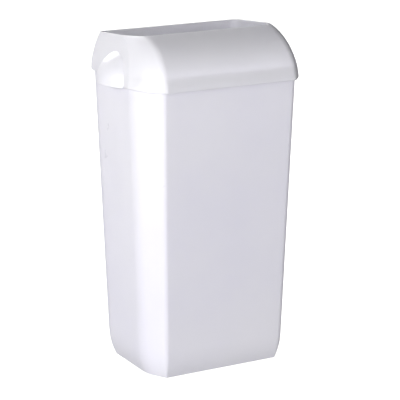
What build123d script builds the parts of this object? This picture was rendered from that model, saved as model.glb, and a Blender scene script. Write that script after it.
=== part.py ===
from build123d import *
import os
from math import asin, cos, radians, sin, sqrt

# Waste bin: a tapered tub, an arched lift-off hood with an open mouth, a hinged bag ring inside,
# and a steel cleat behind that hooks the bin on a wall.
# Millimetres, +Z up, front towards -Y, origin on the floor under the middle of the whole bin.

# ---- Driving dimensions: tub ------------------------------------------------------------
BASE_Z = 1.0              # underside of the tub; the rubber feet reach down to 0
FOOT_Z = 42.0             # height where the straight walls start to curve in to the foot
RIM_Z = 456.0             # level at which the widths and depths of tub and hood are given
TUB_TOP_Z = 476.0
TUB_HALF_WIDTH = 142.0    # outside, at RIM_Z
TUB_FRONT = -106.0
TUB_BACK = 103.4
SIDE_DRAFT = 16.0         # how far each wall leans in between RIM_Z and FOOT_Z
FRONT_DRAFT = 15.5
BACK_DRAFT = 4.5
FOOT_INSET = 8.1          # extra inset of the curved foot at the floor
WALL = 3.0
FLOOR = 4.0
ROOTED = 0.8              # how deep an added feature starts inside the wall it grows from
FACET_X = 27.5            # front corner facet at the rim: how much it takes off the front
FACET_Y = 46.0            # and off the side
FACET_X_FOOT = 22.0
FACET_Y_FOOT = 38.0
SIDE_BLEND = 60.0         # radius where the facet meets the side
FRONT_BLEND = 10.0        # radius where the facet meets the front
BACK_BLEND = 43.0
STEP_IN = 2.5             # the tub's collar inside the skirt steps in by this much
STEP_RISE = 1.0           # and starts this far above the skirt's lower edge
COLLAR_Z = 452.0          # where the tub's inner face steps in

# ---- Driving dimensions: hood -----------------------------------------------------------
TOP_Z = 535.0             # front edge of the mouth, the highest point of the bin
SKIRT_FRONT_Z = 460.0     # the skirt's lower edge curves up from front to back
SKIRT_BACK_Z = 474.0
SKIRT_SAG = 0.25          # share of that rise reached half-way back
HOOD_HALF_WIDTH = 148.0
HOOD_FRONT = -112.5
HOOD_BACK = 108.0
MOUTH_HALF_WIDTH = 126.0
ARCH_RUN = 77.0           # from the front plane back to the mouth's front edge
ARCH_END = radians(84.0)  # the arch is the first 84 degrees of a quarter ellipse
MOUTH_BACK_Z = 525.0      # back edge of the mouth, lower than its front edge
MOUTH_BACK_RUN = 15.0     # from the hood's back plane forward to the mouth's back edge
BACK_ARCH_HEIGHT = 84.0
SHOULDER_X = 35.0         # bulged shoulder at the skirt and at the mouth
SHOULDER_Y = 57.0
SHOULDER_X_TOP = 17.0
SHOULDER_Y_TOP = 54.0
SHOULDER_BULGE = 0.046    # height of the bulge as a share of the shoulder's width
HOOD_BACK_BLEND = 48.0
HOOD_BACK_BLEND_TOP = 8.0
REAR_TAPER = 5.0          # how much each side has closed in at the back by the mouth
NOSE_BLEND = 9.0          # radius between shoulder and front arch
NOSE_BLEND_TOP = 15.0
CHEEK_BLEND = 6.0         # radius between shoulder and cheek
CROWN_BLEND = 115.0       # radius along the middle of the shoulder's bulge
CROWN_BLEND_TOP = 55.0
LEDGE_Z = 478.6           # underside of the ledge that carries the hood
LEDGE_THICK = 3.0
LEDGE_WIDTH = 11.0
ARCH_DEPTH = ARCH_RUN / (1 - cos(ARCH_END))
ARCH_HEIGHT = (TOP_Z - RIM_Z) / sin(ARCH_END)

# ---- Driving dimensions: finger grips ---------------------------------------------------
GRIP_Y = HOOD_FRONT + 116.5
GRIP_MIDDLE_X = 115.0     # middle of the grip's ellipsoid, inside the hood
GRIP_RADII = (51.0, 57.0, 56.0)
GRIP_LOW_Z = 459.6        # the grip's lower edge, a little under the skirt's

# ---- Driving dimensions: bag ring and its hinge -----------------------------------------
RING_INSET = 7.2          # from the tub's outside at RIM_Z
RING_BACK = 80.5
RING_BOTTOM_Z = 440.2
RING_TOP_Z = 458.0
RING_WALL = 2.5
RING_FLANGE = 14.0
RING_FLANGE_THICK = 3.0
RING_BLENDS = (40.0, 52.0, 12.0, 12.0, 52.0, 40.0)
TAB_HALF_WIDTH = 16.0     # finger tab at the middle of the ring's front bar
TAB_HEIGHT = 6.0
TAB_THICK = 3.0
TAB_BLEND = 5.0
SUPPORT_Z = 440.0         # top of the tub's ledge under the ring
SUPPORT_THICK = 3.0
SUPPORT_WIDTH = 7.0
SUPPORT_END_Y = 60.0
PIVOT_Y = 89.0
PIVOT_Z = 459.0
HINGE_X = 72.0
PIN_R = 2.5
PIN_HEAD_R = 4.0
PIN_HEAD = 1.8
PIN_TAIL = 3.0
PIN_CHAMFER = 0.4
PIN_RUNNING_GAP = 0.06
SNUG_GAP = 0.02
SEAT_GAP = 0.1            # between faces that touch when assembled
KNUCKLE_R = 4.8
KNUCKLE_HALF = 7.2
KNUCKLE_ROOT = 4.0        # how far each knuckle's web reaches into the ring
EAR_R = 6.0
EAR_GAP_HALF = 8.0
EAR_THICK = 2.5
CLIP_R = 4.2
CLIP_THICK = 0.9
BRACKET_BACK = 97.7       # face on the tub's inner pad
BRACKET_THICK = 2.5
BRACKET_HALF_WIDTH = 18.0
BRACKET_CORNER = 4.0
BRACKET_LOW_Z = 424.0
BRACKET_HIGH_Z = 466.0
PAD_MARGIN = 3.0          # the tub's pads stand out past what is bolted on them

# ---- Driving dimensions: wall cleat and fixings -----------------------------------------
WALL_Y = 112.5            # plane of the wall
PAD_Y = 104.4             # face of the tub's outer pad
SHEET = 2.0
CLEAT_HALF_WIDTH = 100.0
CLEAT_TOP_Z = 446.0
CLEAT_BEND_Z = 409.0
CLEAT_LIP_TOP_Z = 402.0
CLEAT_LIP_Z = 384.0
CLEAT_OFFSET = 5.0        # from the flange's face to the lip's face
PLATE_HALF_WIDTH = 92.0
PLATE_LOW_Z = 334.0
PLATE_BEND_Z = 373.0
PLATE_LIP_LOW_Z = 379.6
PLATE_LIP_Z = 401.0
BEND_GAIN = 0.8           # the outer side of a bend starts this much higher
BOLT_Z = 434.0
BOLT_SPREAD = 11.0        # bolts stand this far each side of a hinge bracket's centre
BOLT_R = 2.5
BOLT_HOLE_R = 2.75
BOLT_HEAD_R = 4.7
BOLT_HEAD = 2.8
BOLT_SOCKET_R = 1.5
BOLT_SOCKET_DEPTH = 1.6
BOLT_TAIL = 9.0
WASHER_R = 4.9
WASHER_HOLE_R = 2.65
WASHER_THICK = 1.0
NUT_R = 4.0               # half the width across flats
NUT_THICK = 4.0
SCREW_Z = 354.0
SCREW_X = 70.0
SCREW_HOLE_R = 2.75
BUMPER_X = 70.0
BUMPER_Z = 90.0
BUMPER_R = 13.0
BUMPER_HOLE_R = 4.0
BUMPER_STEM_R = 3.8
BUMPER_BARB_R = 5.6
BUMPER_BARB = 2.8
BUMPER_EDGE = 2.5
LOOSE_GAP = 0.3
FOOT_PAD_R = 12.0
FOOT_PAD_THICK = 3.5
FOOT_PAD_X = 92.0
FOOT_PAD_YS = (-52.0, 66.0)
FOOT_PAD_GAP = 0.2
FOOT_PAD_EDGE = 0.6
BUFFER_SIDE = (135.4, 139.8)    # rubber strips on the tub's top edge: across, at the sides
BUFFER_FRONT = (-103.7, -100.4)  # and in depth, at the front
BUFFER_LENGTH = 30.0
BUFFER_FRONT_X = 40.0
FAR = 200.0               # past every face of the bin, for cutting


def blend(low, high, share):
    return low + (high - low) * share


def moved_in(corners, distance):
    """Corners of a convex level outline after each straight edge moves in by distance."""
    count = len(corners)
    moved = []
    for k in range(count):
        before, here, after = (Vector(*corners[(k + step) % count]) for step in (-1, 0, 1))
        first, second = (here - before).normalized(), (after - here).normalized()
        half_turn = radians(first.get_angle(second) / 2)
        corner = here + (second - first).normalized() * (distance / cos(half_turn))
        moved.append((corner.X, corner.Y))
    return moved


def outline(z, corners, radii, inset=0.0):
    """Level face at height z: the corners moved in by inset, then rounded."""
    points = [(x, y, z) for x, y in moved_in(corners, inset)]
    radii = [max(r - inset, 1.0) for r in radii]
    return make_face(FilletPolyline(*points, radius=radii, close=True))


def faceted_corners(half_width, front, back, facet):
    """Rectangle with its two front corners cut off, anticlockwise from the back left."""
    w, (cut_x, cut_y) = half_width, facet
    return [
        (-w, back), (-w, front + cut_y), (-w + cut_x, front),
        (w - cut_x, front), (w, front + cut_y), (w, back),
    ]


def raised(face, height):
    return extrude(face, height, dir=(0, 0, 1))


def level_ring(outer, inner, height):
    """Ring between two level outlines, extruded upwards."""
    return raised(outer, height) - raised(inner, height)


def box_between(low, high):
    size = [b - a for a, b in zip(low, high)]
    centre = [(a + b) / 2 for a, b in zip(low, high)]
    return Pos(*centre) * Box(*size)


def rod_z(x, y, radius, low_z, high_z):
    """Upright cylinder between two heights."""
    return Pos(x, y, (low_z + high_z) / 2) * Cylinder(radius, high_z - low_z)


def rod_y(x, z, radius, low_y, high_y):
    """Cylinder along Y between two depths."""
    return Pos(x, (low_y + high_y) / 2, z) * Rot(90, 0, 0) * Cylinder(radius, high_y - low_y)


def rod_x(y, z, radius, low_x, high_x):
    """Cylinder along X between two sides."""
    return Pos((low_x + high_x) / 2, y, z) * Rot(0, 90, 0) * Cylinder(radius, high_x - low_x)


def bored_y(x, z, radius):
    """Cylinder for a hole through the whole back of the bin."""
    return rod_y(x, z, radius, RING_BACK, WALL_Y + SHEET)


def spun_through(face, half_width):
    """Extrudes a face in the YZ plane across the bin's width."""
    return Pos(-half_width, 0, 0) * extrude(face, 2 * half_width, dir=(1, 0, 0))


def bolt_xs():
    return [side * HINGE_X + offset for side in (-1, 1) for offset in (-BOLT_SPREAD, BOLT_SPREAD)]


def foot_pad_places():
    return [(x, y) for x in (-FOOT_PAD_X, FOOT_PAD_X) for y in FOOT_PAD_YS]


def below_skirt(rise=0.0):
    """Everything under the skirt's curved lower edge, moved up by rise."""
    low, high = SKIRT_FRONT_Z + rise, SKIRT_BACK_Z + rise
    middle_y = (HOOD_FRONT + HOOD_BACK) / 2
    middle = (0, middle_y, blend(low, high, SKIRT_SAG))
    edge = ThreePointArc((0, HOOD_FRONT, low), middle, (0, HOOD_BACK, high))
    frame = Polyline(
        (0, HOOD_BACK, high), (0, FAR, high), (0, FAR, FOOT_Z),
        (0, -FAR, FOOT_Z), (0, -FAR, low), (0, HOOD_FRONT, low),
    )
    return spun_through(make_face(edge + frame), FAR)


def tub_corners(z):
    """Corners of the tub's drafted walls at height z."""
    share = (z - FOOT_Z) / (RIM_Z - FOOT_Z)
    facet = (blend(FACET_X_FOOT, FACET_X, share), blend(FACET_Y_FOOT, FACET_Y, share))
    return faceted_corners(
        TUB_HALF_WIDTH - SIDE_DRAFT * (1 - share),
        TUB_FRONT + FRONT_DRAFT * (1 - share),
        TUB_BACK - BACK_DRAFT * (1 - share),
        facet,
    )


def tub_plan(z, inset=0.0):
    """Tub outline at height z: straight drafted walls, with an arc drawn in below FOOT_Z."""
    foot_height = FOOT_Z - BASE_Z
    foot_radius = (foot_height ** 2 + FOOT_INSET ** 2) / (2 * FOOT_INSET)
    drop = max(FOOT_Z - z, 0.0)
    foot = foot_radius - sqrt(foot_radius ** 2 - drop ** 2)
    radii = (BACK_BLEND, SIDE_BLEND, FRONT_BLEND, FRONT_BLEND, SIDE_BLEND, BACK_BLEND)
    return outline(z, tub_corners(z), radii, inset + foot)


def tub_solid(bottom, top, inset):
    """Solid between two heights of the tub, moved in by inset."""
    steps = 5
    foot_heights = [blend(bottom, FOOT_Z, k / steps) for k in range(steps + 1)]
    foot = loft([tub_plan(z, inset) for z in foot_heights])
    walls = loft([tub_plan(FOOT_Z, inset), tub_plan(top, inset)], ruled=True)
    return foot + walls


def tub_pads():
    """Pads on the back wall that give the cleat and the hinge brackets a flat seat."""
    half = CLEAT_HALF_WIDTH - PAD_MARGIN
    low, high = CLEAT_LIP_TOP_Z, CLEAT_TOP_Z + PAD_MARGIN
    pads = box_between((-half, TUB_BACK - WALL + ROOTED, low), (half, PAD_Y, high))
    reach = BRACKET_HALF_WIDTH + PAD_MARGIN
    for side in (-1, 1):
        x = side * HINGE_X
        pads += box_between(
            (x - reach, BRACKET_BACK, BRACKET_LOW_Z - PAD_MARGIN),
            (x + reach, TUB_BACK - WALL, BRACKET_HIGH_Z + PAD_MARGIN),
        )
    return pads


def make_tub():
    body = tub_solid(BASE_Z, TUB_TOP_Z, 0.0)
    collar_height = TUB_TOP_Z - COLLAR_Z
    around = box_between((-FAR, -FAR, COLLAR_Z), (FAR, FAR, TUB_TOP_Z + 1.0))
    body -= around - raised(tub_plan(COLLAR_Z, STEP_IN), collar_height) - below_skirt(STEP_RISE)
    body -= tub_solid(BASE_Z + FLOOR, COLLAR_Z, WALL)
    body -= raised(tub_plan(COLLAR_Z, STEP_IN + WALL), collar_height + 1.0)
    # ledge that carries the bag ring, on the front and sides only
    ledge_z = SUPPORT_Z - SUPPORT_THICK
    rooted, tip = tub_plan(ledge_z, WALL - ROOTED), tub_plan(ledge_z, WALL + SUPPORT_WIDTH)
    ledge = level_ring(rooted, tip, SUPPORT_THICK)
    body += ledge & box_between((-FAR, -FAR, FOOT_Z), (FAR, SUPPORT_END_Y, RIM_Z))
    body += tub_pads()
    for x in bolt_xs():
        body -= bored_y(x, BOLT_Z, BOLT_HOLE_R)
    for side in (-1, 1):
        body -= bored_y(side * BUMPER_X, BUMPER_Z, BUMPER_HOLE_R)
    for x, y in foot_pad_places():
        body += rod_z(x, y, FOOT_PAD_R + WALL, BASE_Z + ROOTED, FOOT_PAD_THICK + FLOOR)
        body -= rod_z(x, y, FOOT_PAD_R + FOOT_PAD_GAP, 0.0, FOOT_PAD_THICK)
    return body


def hood_plan(angle, thickness=0.0):
    """Hood outline at one angle of the front arch; thickness moves it inside the shell."""
    rise = (ARCH_HEIGHT - thickness) * sin(angle)
    front = HOOD_FRONT + ARCH_DEPTH - (ARCH_DEPTH - thickness) * cos(angle)
    share = rise / (TOP_Z - RIM_Z)
    lean = share ** 1.5
    mouth_rise = MOUTH_BACK_Z - RIM_Z
    back_depth = MOUTH_BACK_RUN / (1 - sqrt(1 - (mouth_rise / BACK_ARCH_HEIGHT) ** 2))
    back = HOOD_BACK - back_depth * (1 - sqrt(1 - (rise / BACK_ARCH_HEIGHT) ** 2))
    facet = (blend(SHOULDER_X, SHOULDER_X_TOP, lean), blend(SHOULDER_Y, SHOULDER_Y_TOP, lean))
    half_width = blend(HOOD_HALF_WIDTH, MOUTH_HALF_WIDTH, lean)
    # the arch already moved the front in by the thickness, so the inset adds none there
    corners = faceted_corners(half_width, front - thickness, back, facet)
    rear_half_width = half_width - REAR_TAPER * lean
    corners[0], corners[-1] = (-rear_half_width, back), (rear_half_width, back)
    bulge = Vector(facet[1], facet[0]) * (2 * SHOULDER_BULGE)
    for at, side in ((4, 1), (2, -1)):
        (x1, y1), (x2, y2) = corners[at - 1], corners[at]
        corners.insert(at, ((x1 + x2) / 2 + side * bulge.X, (y1 + y2) / 2 - bulge.Y))
    rear = blend(HOOD_BACK_BLEND, HOOD_BACK_BLEND_TOP, share)
    nose, crown = blend(NOSE_BLEND, NOSE_BLEND_TOP, share), blend(CROWN_BLEND, CROWN_BLEND_TOP, share)
    radii = (rear, CHEEK_BLEND, crown, nose, nose, crown, CHEEK_BLEND, rear)
    return outline(RIM_Z + rise, corners, radii, thickness)


def hood_solid(thickness=0.0):
    steps = 8
    return loft([hood_plan(ARCH_END * k / steps, thickness) for k in range(steps + 1)])


def below_mouth():
    """Everything under the sloping plane of the mouth."""
    mouth_front = HOOD_FRONT + ARCH_RUN
    mouth_back = HOOD_BACK - MOUTH_BACK_RUN
    slope = (TOP_Z - MOUTH_BACK_Z) / (mouth_back - mouth_front)
    low, high = (TOP_Z - slope * (y - mouth_front) for y in (FAR, -FAR))
    side = Polyline((0, -FAR, high), (0, FAR, low), (0, FAR, FOOT_Z), (0, -FAR, FOOT_Z), close=True)
    return spun_through(make_face(side), FAR)


def hood_ledge():
    """Level ledge inside the hood that rests on the buffers over the tub's top edge."""
    angle = asin((LEDGE_Z - RIM_Z) / ARCH_HEIGHT)
    rings = []
    for depth in (WALL - ROOTED, WALL + LEDGE_WIDTH):
        face = hood_plan(angle, depth)
        rings.append(Pos(0, 0, LEDGE_Z - face.center().Z) * face)
    return level_ring(*rings, LEDGE_THICK)


def grip_dome(shrink=0.0):
    """Ellipsoid on the left side, of which the part outside the hood makes the finger grip."""
    ball = scale(Sphere(1.0), tuple(radius - shrink for radius in GRIP_RADII))
    return Pos(-GRIP_MIDDLE_X, GRIP_Y, RIM_Z) * ball


def make_hood():
    skin = hood_solid() & below_mouth()
    shell = skin - hood_solid(WALL) - raised(hood_plan(ARCH_END, WALL), WALL)
    shell += hood_ledge() & skin
    grip = grip_dome() - skin - grip_dome(WALL)
    grip = grip & box_between((-FAR, -FAR, GRIP_LOW_Z), (-GRIP_MIDDLE_X, FAR, TOP_Z))
    return shell - below_skirt() + grip + mirror(grip, Plane.YZ)


def ring_plan(z, inset=0.0):
    corners = moved_in(tub_corners(RIM_Z), RING_INSET)
    corners[0] = (corners[0][0], RING_BACK)
    corners[-1] = (corners[-1][0], RING_BACK)
    return outline(z, corners, RING_BLENDS, inset)


def make_bag_ring():
    height = RING_TOP_Z - RING_BOTTOM_Z
    ring = level_ring(ring_plan(RING_BOTTOM_Z), ring_plan(RING_BOTTOM_Z, RING_WALL), height)
    flange_z = RING_TOP_Z - RING_FLANGE_THICK
    ring += level_ring(ring_plan(flange_z), ring_plan(flange_z, RING_FLANGE), RING_FLANGE_THICK)
    tab_y = TUB_FRONT + RING_INSET + RING_FLANGE
    tab_top = RING_TOP_Z + TAB_HEIGHT
    tab = box_between((-TAB_HALF_WIDTH, tab_y - TAB_THICK, flange_z), (TAB_HALF_WIDTH, tab_y, tab_top))
    ring += fillet(tab.edges().filter_by(Axis.Y).group_by(Axis.Z)[-1], TAB_BLEND)
    for side in (-1, 1):
        x = side * HINGE_X
        low_x, high_x = x - KNUCKLE_HALF, x + KNUCKLE_HALF
        ring += rod_x(PIVOT_Y, PIVOT_Z, KNUCKLE_R, low_x, high_x)
        root_y = RING_BACK - KNUCKLE_ROOT
        ring += box_between((low_x, root_y, PIVOT_Z - KNUCKLE_R), (high_x, PIVOT_Y, RING_TOP_Z))
        ring -= rod_x(PIVOT_Y, PIVOT_Z, PIN_R + PIN_RUNNING_GAP, low_x - 1, high_x + 1)
    return ring


def make_hinge_bracket(side):
    x = side * HINGE_X
    front = BRACKET_BACK - BRACKET_THICK
    low_x, high_x = x - BRACKET_HALF_WIDTH, x + BRACKET_HALF_WIDTH
    plate = box_between((low_x, front, BRACKET_LOW_Z), (high_x, BRACKET_BACK, BRACKET_HIGH_Z))
    bracket = fillet(plate.edges().filter_by(Axis.Y), BRACKET_CORNER)
    for direction in (-1, 1):
        inner = x + direction * EAR_GAP_HALF
        low_x, high_x = sorted((inner, inner + direction * EAR_THICK))
        bracket += rod_x(PIVOT_Y, PIVOT_Z, EAR_R, low_x, high_x)
        web_back = front + ROOTED
        bracket += box_between((low_x, PIVOT_Y, PIVOT_Z - EAR_R), (high_x, web_back, PIVOT_Z + EAR_R))
    bracket -= rod_x(PIVOT_Y, PIVOT_Z, PIN_R + SNUG_GAP, x - BRACKET_HALF_WIDTH, x + BRACKET_HALF_WIDTH)
    for offset in (-BOLT_SPREAD, BOLT_SPREAD):
        bracket -= bored_y(x + offset, BOLT_Z, BOLT_HOLE_R)
    return bracket


def make_hinge_pin(side):
    """Headed pin; the head is on the side away from the middle of the bin."""
    x = side * HINGE_X
    reach = EAR_GAP_HALF + EAR_THICK
    pin = rod_x(PIVOT_Y, PIVOT_Z, PIN_R, x - reach - PIN_TAIL, x + reach + PIN_TAIL)
    pin = chamfer(pin.edges(), PIN_CHAMFER)
    seat = reach + SEAT_GAP
    head_low, head_high = sorted((x + side * seat, x + side * (seat + PIN_HEAD)))
    return pin + rod_x(PIVOT_Y, PIVOT_Z, PIN_HEAD_R, head_low, head_high)


def make_pin_clips():
    """Push-on retaining washers on the pins' inner ends."""
    clips = []
    for side in (-1, 1):
        inner_end = side * (HINGE_X - EAR_GAP_HALF - EAR_THICK - SEAT_GAP)
        low_x, high_x = sorted((inner_end, inner_end - side * CLIP_THICK))
        clip = rod_x(PIVOT_Y, PIVOT_Z, CLIP_R, low_x, high_x)
        clips.append(clip - rod_x(PIVOT_Y, PIVOT_Z, PIN_R + SNUG_GAP, low_x - 1, high_x + 1))
    return Compound(children=clips)


def bent_sheet(points, half_width):
    """Bent sheet metal: a closed outline in the YZ plane, as wide as the part."""
    return spun_through(make_face(Polyline(*[(0, y, z) for y, z in points], close=True)), half_width)


def make_tub_cleat():
    """Z-shaped hook bolted to the tub, with its lip pointing down."""
    root, lip = PAD_Y, PAD_Y + CLEAT_OFFSET
    cleat = bent_sheet(
        [
            (root, CLEAT_TOP_Z), (root, CLEAT_BEND_Z), (lip, CLEAT_LIP_TOP_Z), (lip, CLEAT_LIP_Z),
            (lip + SHEET, CLEAT_LIP_Z), (lip + SHEET, CLEAT_LIP_TOP_Z + BEND_GAIN),
            (root + SHEET, CLEAT_BEND_Z + BEND_GAIN), (root + SHEET, CLEAT_TOP_Z),
        ],
        CLEAT_HALF_WIDTH,
    )
    for x in bolt_xs():
        cleat -= bored_y(x, BOLT_Z, BOLT_HOLE_R)
    return cleat


def make_wall_plate():
    """Z-shaped plate screwed to the wall, with its lip pointing up behind the cleat's lip."""
    face, lip = WALL_Y - SHEET, PAD_Y + CLEAT_OFFSET / 2
    plate = bent_sheet(
        [
            (WALL_Y, PLATE_LOW_Z), (WALL_Y, PLATE_BEND_Z + BEND_GAIN),
            (lip + SHEET, PLATE_LIP_LOW_Z + BEND_GAIN), (lip + SHEET, PLATE_LIP_Z),
            (lip, PLATE_LIP_Z), (lip, PLATE_LIP_LOW_Z), (face, PLATE_BEND_Z), (face, PLATE_LOW_Z),
        ],
        PLATE_HALF_WIDTH,
    )
    for side in (-1, 1):
        plate -= bored_y(side * SCREW_X, SCREW_Z, SCREW_HOLE_R)
    return plate


def hexagon_y(x, z, half_flats, low_y, high_y):
    """Hexagonal prism along Y between two depths."""
    face = RegularPolygon(half_flats, 6, major_radius=False)
    return Pos(x, high_y, z) * Rot(90, 0, 0) * extrude(face, high_y - low_y)


def make_bracket_bolts():
    """Dome-head socket bolts, heads behind the bin, through cleat, tub wall and hinge bracket."""
    bolts = []
    seat = PAD_Y + SHEET
    for x in bolt_xs():
        top = seat + BOLT_HEAD
        shank = rod_y(x, BOLT_Z, BOLT_R, BRACKET_BACK - BOLT_TAIL, seat + ROOTED)
        dome = Pos(x, seat, BOLT_Z) * scale(Sphere(1.0), (BOLT_HEAD_R, BOLT_HEAD, BOLT_HEAD_R))
        dome &= rod_y(x, BOLT_Z, BOLT_HEAD_R + 1.0, seat, top)
        dome -= hexagon_y(x, BOLT_Z, BOLT_SOCKET_R, top - BOLT_SOCKET_DEPTH, top)
        bolts.append(shank + dome)
    return Compound(children=bolts)


def make_bracket_washers():
    high = BRACKET_BACK - BRACKET_THICK
    washers = []
    for x in bolt_xs():
        disc = rod_y(x, BOLT_Z, WASHER_R, high - WASHER_THICK, high)
        washers.append(disc - bored_y(x, BOLT_Z, WASHER_HOLE_R))
    return Compound(children=washers)


def make_bracket_nuts():
    high = BRACKET_BACK - BRACKET_THICK - WASHER_THICK
    nuts = []
    for x in bolt_xs():
        prism = hexagon_y(x, BOLT_Z, NUT_R, high - NUT_THICK, high)
        nuts.append(prism - bored_y(x, BOLT_Z, BOLT_R + SNUG_GAP))
    return Compound(children=nuts)


def make_wall_bumpers():
    """Push-in rubber spacers low on the back: disc, stem through the wall, and barb inside."""
    bumpers = []
    outside = TUB_BACK - BACK_DRAFT * (RIM_Z - BUMPER_Z) / (RIM_Z - FOOT_Z)
    inside = outside - WALL
    for side in (-1, 1):
        x = side * BUMPER_X
        disc = rod_y(x, BUMPER_Z, BUMPER_R, outside + LOOSE_GAP, WALL_Y)
        disc = fillet(disc.edges().group_by(Axis.Y)[-1], BUMPER_EDGE)
        stem = rod_y(x, BUMPER_Z, BUMPER_STEM_R, inside - BUMPER_BARB, outside + 1.0)
        barb = rod_y(x, BUMPER_Z, BUMPER_BARB_R, inside - BUMPER_BARB, inside - LOOSE_GAP)
        bumpers.append(disc + stem + barb)
    return Compound(children=bumpers)


def make_foot_pads():
    pads = []
    for x, y in foot_pad_places():
        pad = rod_z(x, y, FOOT_PAD_R, 0.0, FOOT_PAD_THICK)
        pads.append(fillet(pad.edges().group_by(Axis.Z)[0], FOOT_PAD_EDGE))
    return Compound(children=pads)


def make_hood_buffers():
    """Rubber strips under the hood's ledge, standing on the tub's top edge."""
    low, high = TUB_TOP_Z + SEAT_GAP, LEDGE_Z
    strips = []
    for side in (-1, 1):
        near, far = sorted(side * x for x in BUFFER_SIDE)
        strips.append(box_between((near, 0, low), (far, BUFFER_LENGTH, high)))
        near, far = sorted((side * BUFFER_FRONT_X, side * (BUFFER_FRONT_X + BUFFER_LENGTH)))
        strips.append(box_between((near, BUFFER_FRONT[0], low), (far, BUFFER_FRONT[1], high)))
    return Compound(children=strips)


def write(node, shape):
    shape.label = node
    export_step(shape, f"parts/{node}.step")


def main():
    os.makedirs("parts", exist_ok=True)
    write("tub", make_tub())
    write("hood", make_hood())
    write("bag_ring", make_bag_ring())
    for side, name in ((-1, "left"), (1, "right")):
        write(f"hinge_bracket_{name}", make_hinge_bracket(side))
        write(f"hinge_pin_{name}", make_hinge_pin(side))
    write("pin_clips", make_pin_clips())
    write("tub_cleat", make_tub_cleat())
    write("wall_plate", make_wall_plate())
    write("bracket_bolts", make_bracket_bolts())
    write("bracket_washers", make_bracket_washers())
    write("bracket_nuts", make_bracket_nuts())
    write("wall_bumpers", make_wall_bumpers())
    write("foot_pads", make_foot_pads())
    write("hood_buffers", make_hood_buffers())


main()
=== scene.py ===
from math import cos, radians, sin

import bpy
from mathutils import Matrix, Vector

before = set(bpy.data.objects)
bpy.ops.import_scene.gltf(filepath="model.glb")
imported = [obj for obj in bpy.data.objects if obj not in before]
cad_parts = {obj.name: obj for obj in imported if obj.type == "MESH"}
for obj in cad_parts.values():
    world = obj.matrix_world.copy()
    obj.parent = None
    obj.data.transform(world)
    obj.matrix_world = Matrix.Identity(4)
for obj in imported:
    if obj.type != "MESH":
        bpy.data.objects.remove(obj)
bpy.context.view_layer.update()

# ---- Camera: to the left of the front and a little above the bin ------------------------
CAMERA_TURN = radians(28.9)
CAMERA_RISE = radians(15.0)
CAMERA_DISTANCE = 2.842
CAMERA_LENS = 159.6       # mm
CAMERA_SENSOR = 36.0      # mm
LOOK_AT = Vector((0.0, 0.024, 0.2519))
LOOK_ASIDE = 0.0169       # how far the camera is moved to its own right

# ---- Lights: turn from the front and rise (degrees), distance and size (m), power (W) ----
KEY = {"turn": -75, "rise": 13, "distance": 2.6, "size": 1.5, "power": 46}
FRONT = {"turn": -8, "rise": 8, "distance": 3.0, "size": 1.3, "power": 33}
BACK = {"turn": 178, "rise": 32, "distance": 2.8, "size": 1.6, "power": 58}

# ---- Studio walls: brighter to the left, in front and low down --------------------------
SKY_BRIGHT_SIDE = (-0.72, -0.56, -0.40)
SKY_DARK = 0.05
SKY_BRIGHT = 0.42
SKY_COLOUR = (0.985, 0.985, 1.0, 1.0)

# ---- Floor ------------------------------------------------------------------------------
FLOOR_REACH = 9.0
FLOOR_PALE = (0.80, 0.80, 0.80)
FLOOR_PALER = (0.84, 0.84, 0.84)
FLOOR_ROUGHNESS = 0.9
FLOOR_GLOW = 1.0

# ---- White mouldings --------------------------------------------------------------------
MOULDED_EDGE = 0.0013     # radius given to the sharp edges (m)
WHITE_DARKER = (0.84, 0.83, 0.925)
WHITE_LIGHTER = (0.88, 0.87, 0.96)
WHITE_FLOW = (0.82, 0.81, 0.90)
FLOW_SEEN = (0.45, 0.8)   # range of the noise that shows as flow marks
FLOW_SHARE = (0, 0.35)    # share of the flow marks' colour
WHITE_ROUGHNESS = (0.27, 0.36)
SCUFF_SEEN = (0.55, 0.75)
SCUFF_ROUGHNESS = (0, 0.05)        # added where the plastic is rubbed
WAVES_BUMP = (0.0012, 0.12)        # each bump is depth (m) and strength
GRAIN_BUMP = (0.00004, 0.25)
PLASTIC_IOR = 1.5
GLOW_WEIGHT = 0.8
GLOW_SPREAD = (1.0, 1.0, 1.0)      # the same for red, green and blue
TUB_GLOW_DEPTH = 0.0015   # how deep light travels in the plastic (m)
HOOD_GLOW_DEPTH = 0.007
TUB_STRETCH = (1.0, 1.0, 1.0)
HOOD_STRETCH = (1.3, 1.3, 1.3)
DRAWN_DOWN = (1.0, 1.0, 0.12)      # stretch that draws marks out up and down
DRAWN_FAR_DOWN = (1.0, 1.0, 0.05)

# ---- Other colours, darker and lighter --------------------------------------------------
RING_GREYS = ((0.24, 0.245, 0.25), (0.30, 0.305, 0.31))
ZINC_GREYS = ((0.55, 0.56, 0.58), (0.68, 0.69, 0.70))
PIN_GREYS = ((0.60, 0.60, 0.61), (0.72, 0.72, 0.73))
CLIP_GREYS = ((0.20, 0.20, 0.21), (0.30, 0.30, 0.31))
BOLT_GREYS = ((0.58, 0.58, 0.56), (0.70, 0.70, 0.67))
BLACK_RUBBER = ((0.012, 0.012, 0.012), (0.035, 0.035, 0.035))
GREY_RUBBER = ((0.05, 0.05, 0.052), (0.09, 0.09, 0.095))

# ---- Ring's grey plastic ----------------------------------------------------------------
RING_ROUGHNESS = (0.48, 0.62)
RING_BUMP = (0.0001, 0.35)

# ---- Galvanised sheet -------------------------------------------------------------------
SPANGLE_SEEN = (0.2, 0.8)
SPANGLE_BUMP = (0.00003, 0.2)
ZINC_ROUGHNESS = (0.30, 0.44)
ROLLED = (0.03, 1, 1)     # stretch that draws marks out along the sheet
ROLLED_ROUGHNESS = (0, 0.08)       # added along the rolling lines
ROLLED_BUMP = (0.00003, 0.3)

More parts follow.
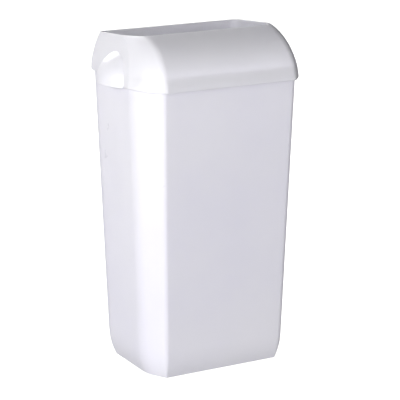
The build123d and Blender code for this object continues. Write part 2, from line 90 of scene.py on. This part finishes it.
# ---- Turned steel -----------------------------------------------------------------------
TURNED = (1, 0.05, 0.05)  # stretch that draws marks out round the X axis
TURNED_BUMP = (0.00002, 0.4)
PIN_ROUGHNESS = (0.18, 0.32)
CLIP_ROUGHNESS = (0.32, 0.46)
BOLT_ROUGHNESS = (0.24, 0.38)

# ---- Rubber -----------------------------------------------------------------------------
RUBBER_SEEN = (0.35, 0.7)
RUBBER_ROUGHNESS = (0.70, 0.88)
RUBBER_BUMP = (0.0001, 0.5)

NOISE_BODY = (0.3, 0.7)   # range that most of a noise texture's values lie in
BEVEL_SAMPLES = 6


class Nodes:
    """Small helper that adds and links the nodes of one material."""

    def __init__(self, name):
        self.material = bpy.data.materials.new(name)
        self.material.use_nodes = True
        self.tree = self.material.node_tree
        self.tree.nodes.clear()
        self.output = self.tree.nodes.new("ShaderNodeOutputMaterial")
        self.shader = self.tree.nodes.new("ShaderNodeBsdfPrincipled")
        self.link(self.shader.outputs["BSDF"], self.output.inputs["Surface"])
        self.place = self.tree.nodes.new("ShaderNodeTexCoord").outputs["Object"]

    def link(self, source, target):
        self.tree.links.new(source, target)

    def feed(self, **sources):
        """Links outputs to the shader's sockets, named with _ for a space."""
        for name, source in sources.items():
            self.link(source, self.shader.inputs[name.replace("_", " ")])

    def set(self, **numbers):
        """Sets uniform values on the shader's sockets, named with _ for a space."""
        for name, number in numbers.items():
            self.shader.inputs[name.replace("_", " ")].default_value = number

    def stretched(self, stretch):
        mapping = self.tree.nodes.new("ShaderNodeMapping")
        mapping.inputs["Scale"].default_value = stretch
        self.link(self.place, mapping.inputs["Vector"])
        return mapping.outputs["Vector"]

    def noise(self, scale, detail=2.0, roughness=0.5, stretch=(1, 1, 1)):
        """Noise with so many waves per metre."""
        noise = self.tree.nodes.new("ShaderNodeTexNoise")
        noise.inputs["Scale"].default_value = scale
        noise.inputs["Detail"].default_value = detail
        noise.inputs["Roughness"].default_value = roughness
        self.link(self.stretched(stretch), noise.inputs["Vector"])
        return noise.outputs["Fac"]

    def cell_shades(self, scale):
        """One grey per cell, with so many cells per metre."""
        cells = self.tree.nodes.new("ShaderNodeTexVoronoi")
        cells.inputs["Scale"].default_value = scale
        self.link(self.place, cells.inputs["Vector"])
        grey = self.tree.nodes.new("ShaderNodeRGBToBW")
        self.link(cells.outputs["Color"], grey.inputs[0])
        return grey.outputs[0]

    def spread(self, value, to=(0, 1), seen=NOISE_BODY):
        """Maps a value from the range seen to another range, clamped."""
        node = self.tree.nodes.new("ShaderNodeMapRange")
        for name, number in zip(("From Min", "From Max", "To Min", "To Max"), (*seen, *to)):
            node.inputs[name].default_value = number
        self.link(value, node.inputs["Value"])
        return node.outputs["Result"]

    def mix(self, share, first, second):
        """Colour mix; first and second are colours or outputs."""
        node = self.tree.nodes.new("ShaderNodeMix")
        node.data_type = "RGBA"
        self.link(share, node.inputs["Factor"])
        for socket, value in ((node.inputs[6], first), (node.inputs[7], second)):
            if isinstance(value, tuple):
                socket.default_value = (*value, 1.0)
            else:
                self.link(value, socket)
        return node.outputs[2]

    def add(self, first, second):
        node = self.tree.nodes.new("ShaderNodeMath")
        node.operation = "ADD"
        self.link(first, node.inputs[0])
        self.link(second, node.inputs[1])
        return node.outputs[0]

    def rounded(self, radius):
        """Normal that rounds every sharp edge by a radius in metres."""
        node = self.tree.nodes.new("ShaderNodeBevel")
        node.samples = BEVEL_SAMPLES
        node.inputs["Radius"].default_value = radius
        return node.outputs["Normal"]

    def bump(self, *layers, normal=None):
        """Each layer is an output and its bump: depth in metres and strength."""
        for value, (distance, strength) in layers:
            node = self.tree.nodes.new("ShaderNodeBump")
            node.inputs["Distance"].default_value = distance
            node.inputs["Strength"].default_value = strength
            self.link(value, node.inputs["Height"])
            if normal is not None:
                self.link(normal, node.inputs["Normal"])
            normal = node.outputs["Normal"]
        self.link(normal, self.shader.inputs["Normal"])


def moulded_white(name, stretch, glow_depth):
    """Satin white injection-moulded plastic with a fine spark-eroded grain."""
    n = Nodes(name)
    drift = n.noise(scale=5.0, detail=3.0, stretch=stretch)
    clean = n.mix(n.spread(drift), WHITE_DARKER, WHITE_LIGHTER)
    flow = n.noise(scale=9.0, detail=4.0, roughness=0.6, stretch=DRAWN_DOWN)
    flow_share = n.spread(flow, to=FLOW_SHARE, seen=FLOW_SEEN)
    patches = n.noise(scale=14.0, detail=5.0, roughness=0.55, stretch=stretch)
    rubbed = n.noise(scale=260.0, roughness=0.6, stretch=DRAWN_FAR_DOWN)
    patchy = n.spread(patches, to=WHITE_ROUGHNESS)
    scuffed = n.spread(rubbed, to=SCUFF_ROUGHNESS, seen=SCUFF_SEEN)
    n.feed(Base_Color=n.mix(flow_share, clean, WHITE_FLOW), Roughness=n.add(patchy, scuffed))
    n.set(IOR=PLASTIC_IOR, Subsurface_Weight=GLOW_WEIGHT)
    n.set(Subsurface_Radius=GLOW_SPREAD, Subsurface_Scale=glow_depth)
    waves = n.noise(scale=4.0, roughness=0.4)
    grain = n.noise(scale=1500.0)
    n.bump((waves, WAVES_BUMP), (grain, GRAIN_BUMP), normal=n.rounded(MOULDED_EDGE))
    return n.material


def moulded_grey():
    """Plain grey moulded plastic with a coarse grain."""
    n = Nodes("ring_grey")
    drift = n.noise(scale=20.0, detail=4.0)
    patches = n.noise(scale=40.0, detail=4.0)
    n.feed(
        Base_Color=n.mix(n.spread(drift), *RING_GREYS),
        Roughness=n.spread(patches, to=RING_ROUGHNESS),
    )
    n.bump((n.noise(scale=900.0, detail=3.0), RING_BUMP))
    return n.material


def zinc_sheet():
    """Galvanised sheet: faint spangle, rolling lines and dull patches."""
    n = Nodes("zinc_sheet")
    spangle = n.cell_shades(160.0)
    lines = n.noise(scale=600.0, roughness=0.6, stretch=ROLLED)
    dull = n.spread(n.noise(scale=30.0, detail=4.0), to=ZINC_ROUGHNESS)
    n.feed(
        Base_Color=n.mix(n.spread(spangle, seen=SPANGLE_SEEN), *ZINC_GREYS),
        Roughness=n.add(dull, n.spread(lines, to=ROLLED_ROUGHNESS)),
    )
    n.set(Metallic=1.0)
    n.bump((lines, ROLLED_BUMP), (spangle, SPANGLE_BUMP))
    return n.material


def turned_steel(name, greys, roughness):
    """Bright steel with fine marks that run round the X axis."""
    n = Nodes(name)
    marks = n.noise(scale=1800.0, stretch=TURNED)
    drift = n.noise(scale=120.0, detail=3.0)
    n.feed(
        Base_Color=n.mix(n.spread(drift), *greys),
        Roughness=n.spread(marks, to=roughness),
    )
    n.set(Metallic=1.0)
    n.bump((marks, TURNED_BUMP))
    return n.material


def rubber(name, greys):
    """Dull rubber with a fine rough skin."""
    n = Nodes(name)
    drift = n.noise(scale=60.0, detail=5.0)
    patches = n.noise(scale=200.0, detail=3.0)
    n.feed(
        Base_Color=n.mix(n.spread(drift, seen=RUBBER_SEEN), *greys),
        Roughness=n.spread(patches, to=RUBBER_ROUGHNESS),
    )
    n.bump((n.noise(scale=1200.0, detail=3.0), RUBBER_BUMP))
    return n.material


def floor_pale():
    """Pale floor that shines by itself, so that it stays bright and even."""
    n = Nodes("floor_pale")
    n.feed(Base_Color=n.mix(n.noise(scale=3.0, detail=3.0), FLOOR_PALE, FLOOR_PALER))
    n.set(Roughness=FLOOR_ROUGHNESS)
    n.set(Emission_Color=(1, 1, 1, 1), Emission_Strength=FLOOR_GLOW)
    return n.material


def paint(material, *names):
    for name in names:
        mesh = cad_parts[name].data
        mesh.materials.clear()
        mesh.materials.append(material)


def paint_pieces():
    paint(moulded_white("tub_white", TUB_STRETCH, TUB_GLOW_DEPTH), "tub")
    paint(moulded_white("hood_white", HOOD_STRETCH, HOOD_GLOW_DEPTH), "hood")
    paint(moulded_grey(), "bag_ring")
    paint(zinc_sheet(), "tub_cleat", "wall_plate", "hinge_bracket_left", "hinge_bracket_right")
    paint(turned_steel("pin_steel", PIN_GREYS, PIN_ROUGHNESS), "hinge_pin_left", "hinge_pin_right")
    paint(turned_steel("clip_steel", CLIP_GREYS, CLIP_ROUGHNESS), "pin_clips")
    bolt_zinc = turned_steel("bolt_zinc", BOLT_GREYS, BOLT_ROUGHNESS)
    paint(bolt_zinc, "bracket_bolts", "bracket_washers", "bracket_nuts")
    paint(rubber("black_rubber", BLACK_RUBBER), "wall_bumpers", "foot_pads")
    paint(rubber("grey_rubber", GREY_RUBBER), "hood_buffers")


def add_floor():
    """Floor that the camera sees and that throws no light or shade on the bin."""
    mesh = bpy.data.meshes.new("floor")
    low, high = -FLOOR_REACH, FLOOR_REACH
    corners = [(low, low, 0), (high, low, 0), (high, high, 0), (low, high, 0)]
    mesh.from_pydata(corners, [], [(0, 1, 2, 3)])
    mesh.materials.append(floor_pale())
    floor = bpy.data.objects.new("floor", mesh)
    bpy.context.scene.collection.objects.link(floor)
    floor.visible_diffuse = False
    floor.visible_glossy = False
    floor.visible_shadow = False


def add_sky():
    world = bpy.data.worlds.new("studio")
    bpy.context.scene.world = world
    world.use_nodes = True
    tree = world.node_tree
    background = tree.nodes["Background"]
    background.inputs["Color"].default_value = SKY_COLOUR
    direction = tree.nodes.new("ShaderNodeTexCoord")
    facing = tree.nodes.new("ShaderNodeVectorMath")
    facing.operation = "DOT_PRODUCT"
    facing.inputs[1].default_value = SKY_BRIGHT_SIDE
    tree.links.new(direction.outputs["Generated"], facing.inputs[0])
    strength = tree.nodes.new("ShaderNodeMapRange")
    ends = (("From Min", -1.0), ("From Max", 1.0), ("To Min", SKY_DARK), ("To Max", SKY_BRIGHT))
    for name, value in ends:
        strength.inputs[name].default_value = value
    tree.links.new(facing.outputs["Value"], strength.inputs["Value"])
    tree.links.new(strength.outputs["Result"], background.inputs["Strength"])


def aim(thing, toward, distance, aside=Vector()):
    """Puts a lamp or camera out in one direction, looking back at the bin."""
    thing.location = LOOK_AT + aside + toward * distance
    thing.rotation_mode = "QUATERNION"
    thing.rotation_quaternion = toward.to_track_quat("Z", "Y")
    bpy.context.scene.collection.objects.link(thing)


def add_light(name, turn, rise, distance, size, power):
    light = bpy.data.lights.new(name, "AREA")
    light.shape = "DISK"
    light.size = size
    light.energy = power
    across, up = radians(turn), radians(rise)
    toward = Vector((sin(across) * cos(up), -cos(across) * cos(up), sin(up)))
    aim(bpy.data.objects.new(name, light), toward, distance)


def add_camera():
    right = Vector((cos(CAMERA_TURN), -sin(CAMERA_TURN), 0.0))
    level = cos(CAMERA_RISE)
    toward = Vector((-sin(CAMERA_TURN) * level, -cos(CAMERA_TURN) * level, sin(CAMERA_RISE)))
    data = bpy.data.cameras.new("camera")
    data.lens = CAMERA_LENS
    data.sensor_width = CAMERA_SENSOR
    camera = bpy.data.objects.new("camera", data)
    aim(camera, toward, CAMERA_DISTANCE, right * LOOK_ASIDE)
    bpy.context.scene.camera = camera


paint_pieces()
add_floor()
add_sky()
for name, lamp in (("key", KEY), ("front", FRONT), ("back", BACK)):
    add_light(name, **lamp)
add_camera()
bpy.context.scene.view_settings.view_transform = "Standard"
